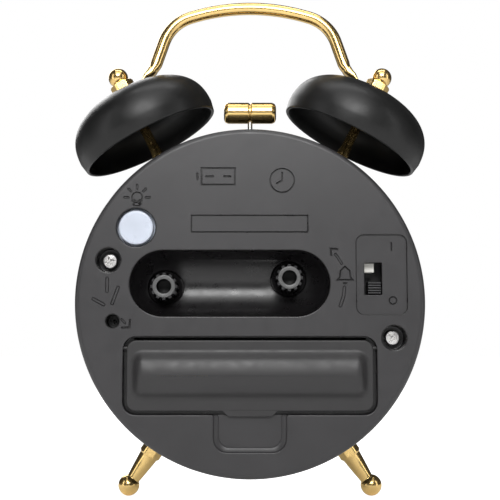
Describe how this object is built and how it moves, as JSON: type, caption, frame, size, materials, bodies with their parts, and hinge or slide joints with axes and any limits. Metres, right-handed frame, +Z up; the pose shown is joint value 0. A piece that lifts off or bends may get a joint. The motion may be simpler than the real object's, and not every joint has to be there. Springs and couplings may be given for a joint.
{
  "type": "alarm clock",
  "caption": "Twin-bell alarm clock: round drum case on ball feet, dished bells on posts, wire handle, swinging hammer and a quartz movement set from knobs on the back.",
  "frame": {"origin": "on the table, under the middle of the clock, dial upright", "axes": "-Y is the way the dial faces, +Y the back with the knobs, +Z up, +X the right-hand side seen from the front"},
  "size_m": [0.0992, 0.045, 0.1411],
  "materials": {
    "black_enamel": "satin black enamel",
    "cover_plastic": "fine matte moulded, near black",
    "door_plastic": "fine matte moulded, near black",
    "brass": "polished, lacquered",
    "steel": "bright",
    "spring_steel": "nickel plated",
    "lens_glass": "clear",
    "dial_white": "printed card white",
    "button_white": "translucent, pale blue white",
    "black_plastic": "black",
    "pale_plastic": "pale",
    "natural_nylon": "natural",
    "copper": "enamelled copper wire",
    "iron": "soft iron",
    "board": "solder mask",
    "cell_wrap": "printed wrap",
    "hand_black": "black"
  },
  "bodies": {
    "case": {"case_drum": "black_enamel", "front_bezel": "black_enamel", "lens": "lens_glass", "dial_ring": "brass", "dial": "dial_white", "back_cover": "cover_plastic", "cover_screws": "steel", "battery_cell": "cell_wrap", "spring_contact": "spring_steel", "plate_contact": "spring_steel", "push_switch": "black_plastic", "switch_body": "black_plastic", "switch_block": "pale_plastic", "dial_lamp": "pale_plastic", "bell_right": "black_enamel", "bell_left": "black_enamel", "bell_posts": "brass", "post_nuts": "steel", "acorn_nuts": "brass", "handle": "brass", "hammer_pin": "steel", "hammer_spring": "spring_steel", "ringer_coil": "copper", "ringer_core": "iron", "ringer_bracket": "steel", "foot_right": "brass", "foot_left": "brass", "foot_nuts": "steel", "movement_base": "natural_nylon", "movement_cover": "natural_nylon", "movement_screws": "steel", "drive_coil": "copper", "drive_core": "iron", "stator": "iron", "circuit_board": "board", "quartz_crystal": "steel"},
    "door": {"battery_door": "door_plastic"},
    "button": {"light_button": "button_white"},
    "slider": {"switch_slider": "black_plastic"},
    "hammer": {"hammer_head": "brass", "hammer_arm": "steel"},
    "second_train": {"second_wheel": "natural_nylon", "second_hand": "hand_black"},
    "rotor_body": {"rotor": "natural_nylon"},
    "intermediate_body": {"intermediate_wheel": "natural_nylon"},
    "third_wheel_body": {"third_wheel": "natural_nylon"},
    "minute_train": {"centre_wheel": "natural_nylon", "minute_hand": "hand_black"},
    "third_pinion_body": {"third_pinion": "natural_nylon"},
    "motion_body": {"motion_wheel": "natural_nylon"},
    "hour_train": {"hour_wheel": "natural_nylon", "hour_hand": "hand_black"},
    "time_setter": {"time_knob": "black_plastic", "time_spindle": "natural_nylon"},
    "alarm_train": {"alarm_wheel": "natural_nylon", "alarm_hand": "hand_black"},
    "alarm_setter": {"alarm_knob": "black_plastic", "alarm_spindle": "natural_nylon"}
  },
  "joints": [
    {"name": "battery_door_hinge", "type": "hinge", "parent": "case", "child": "door", "pos_m": [0, 0.01883, 0.04165], "axis": [1, 0, 0], "range_deg": [0, 50]},
    {"name": "light_button_press", "type": "slide", "parent": "case", "child": "button", "axis": [0, -1, 0], "range_m": [0, 0.0012], "stiffness_N_per_m": 150},
    {"name": "alarm_switch_slide", "type": "slide", "parent": "case", "child": "slider", "axis": [0, 0, 1], "range_m": [0, 0.0046]},
    {"name": "hammer_swing", "type": "hinge", "parent": "case", "child": "hammer", "pos_m": [0, 0, 0.0868], "axis": [0, 1, 0], "range_deg": [-6, 6], "stiffness_Nm_per_rad": 0.02},
    {"name": "second_turn", "type": "hinge", "parent": "case", "child": "second_train", "pos_m": [0, 0, 0.0538], "axis": [0, 1, 0], "continuous": true},
    {"name": "rotor_turn", "type": "hinge", "parent": "case", "child": "rotor_body", "pos_m": [-0.01604, 0, 0.04425], "axis": [0, 1, 0], "continuous": true},
    {"name": "intermediate_turn", "type": "hinge", "parent": "case", "child": "intermediate_body", "pos_m": [-0.00781, 0, 0.04724], "axis": [0, 1, 0], "continuous": true},
    {"name": "third_wheel_turn", "type": "hinge", "parent": "case", "child": "third_wheel_body", "pos_m": [0.00349, 0, 0.04421], "axis": [0, 1, 0], "continuous": true},
    {"name": "minute_turn", "type": "hinge", "parent": "case", "child": "minute_train", "pos_m": [0, 0, 0.0538], "axis": [0, 1, 0], "continuous": true},
    {"name": "third_pinion_turn", "type": "hinge", "parent": "case", "child": "third_pinion_body", "pos_m": [0.00349, 0, 0.04421], "axis": [0, 1, 0], "continuous": true},
    {"name": "motion_turn", "type": "hinge", "parent": "case", "child": "motion_body", "pos_m": [0.00914, 0, 0.05673], "axis": [0, 1, 0], "continuous": true},
    {"name": "hour_turn", "type": "hinge", "parent": "case", "child": "hour_train", "pos_m": [0, 0, 0.0538], "axis": [0, 1, 0], "continuous": true},
    {"name": "time_knob_turn", "type": "hinge", "parent": "case", "child": "time_setter", "pos_m": [0.0227, 0, 0.0578], "axis": [0, 1, 0], "continuous": true},
    {"name": "alarm_turn", "type": "hinge", "parent": "case", "child": "alarm_train", "pos_m": [0, 0, 0.0538], "axis": [0, 1, 0], "continuous": true},
    {"name": "alarm_knob_turn", "type": "hinge", "parent": "case", "child": "alarm_setter", "pos_m": [-0.0104, 0, 0.0601], "axis": [0, 1, 0], "continuous": true}
  ],
  "couplings": [
    {"joint": "rotor_turn", "follows": "second_turn", "ratio": 30},
    {"joint": "intermediate_turn", "follows": "second_turn", "ratio": -5},
    {"joint": "third_wheel_turn", "follows": "second_turn", "ratio": -0.125},
    {"joint": "third_pinion_turn", "follows": "minute_turn", "ratio": -7.5},
    {"joint": "motion_turn", "follows": "minute_turn", "ratio": -0.33333},
    {"joint": "hour_turn", "follows": "minute_turn", "ratio": 0.083333},
    {"joint": "time_knob_turn", "follows": "minute_turn", "ratio": 0.375},
    {"joint": "alarm_knob_turn", "follows": "alarm_turn", "ratio": -2}
  ]
}
